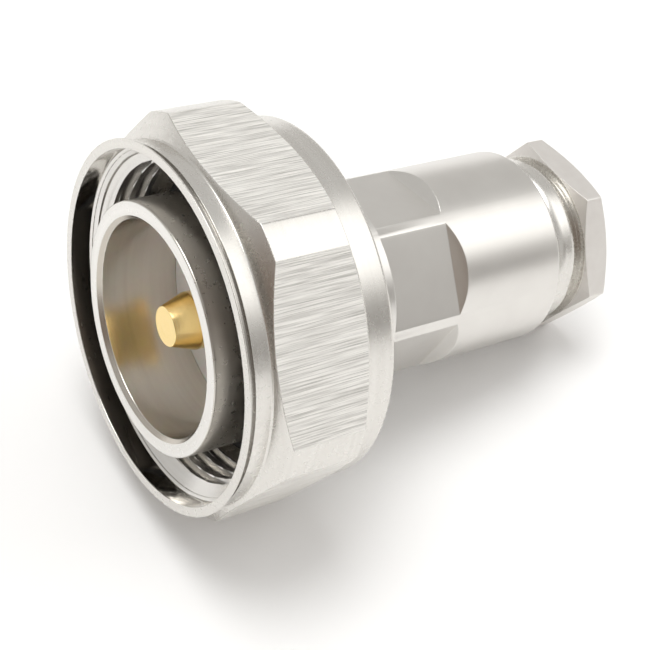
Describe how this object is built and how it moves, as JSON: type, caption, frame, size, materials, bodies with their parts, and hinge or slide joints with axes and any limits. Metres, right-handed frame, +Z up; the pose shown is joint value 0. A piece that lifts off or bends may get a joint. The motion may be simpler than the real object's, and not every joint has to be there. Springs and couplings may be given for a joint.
{
  "type": "coaxial plug",
  "caption": "Large threaded coaxial plug with a free-turning hexagonal coupling nut, a gold centre pin, a round flatted body and a screwed hexagonal cable clamp nut.",
  "frame": {"origin": "on the table, under the middle of the plug as it lies at rest", "axes": "+Y along the plug from its mating face to its cable end, seen from above; +Z up; the plug's own axis dips 14.4 degrees towards +Y because the thin end lies lower"},
  "size_m": [0.0353, 0.0484, 0.034],
  "materials": {
    "nickel": "satin nickel plate on brass",
    "gold": "gold plate on brass",
    "spring_steel": "plain spring steel",
    "ptfe": "white fluoropolymer",
    "rubber": "matt black rubber"
  },
  "bodies": {
    "plug": {"front_shell": "nickel", "body": "nickel", "retaining_ring": "spring_steel", "interface_gasket": "rubber", "front_insulator": "ptfe", "center_contact": "gold", "rear_insulator": "ptfe", "braid_clamp": "nickel", "clamp_gasket": "rubber"},
    "coupling": {"coupling_nut": "nickel"},
    "washer": {"slip_washer": "nickel"},
    "clamp": {"clamp_nut": "nickel"}
  },
  "joints": [
    {"name": "coupling_spin", "type": "hinge", "parent": "plug", "child": "coupling", "pos_m": [0, -0.00872, 0.01568], "axis": [0, -0.9685, 0.249], "continuous": true},
    {"name": "clamp_travel", "type": "slide", "parent": "plug", "child": "washer", "axis": [0, 0.9685, -0.249], "range_m": [0, 0.003]},
    {"name": "clamp_turn", "type": "hinge", "parent": "washer", "child": "clamp", "pos_m": [0, 0.01741, 0.00896], "axis": [0, 0.9685, -0.249], "range_deg": [0, 1080]}
  ],
  "couplings": [
    {"joint": "clamp_travel", "follows": "clamp_turn", "m_per_rad": 0.00015915}
  ]
}
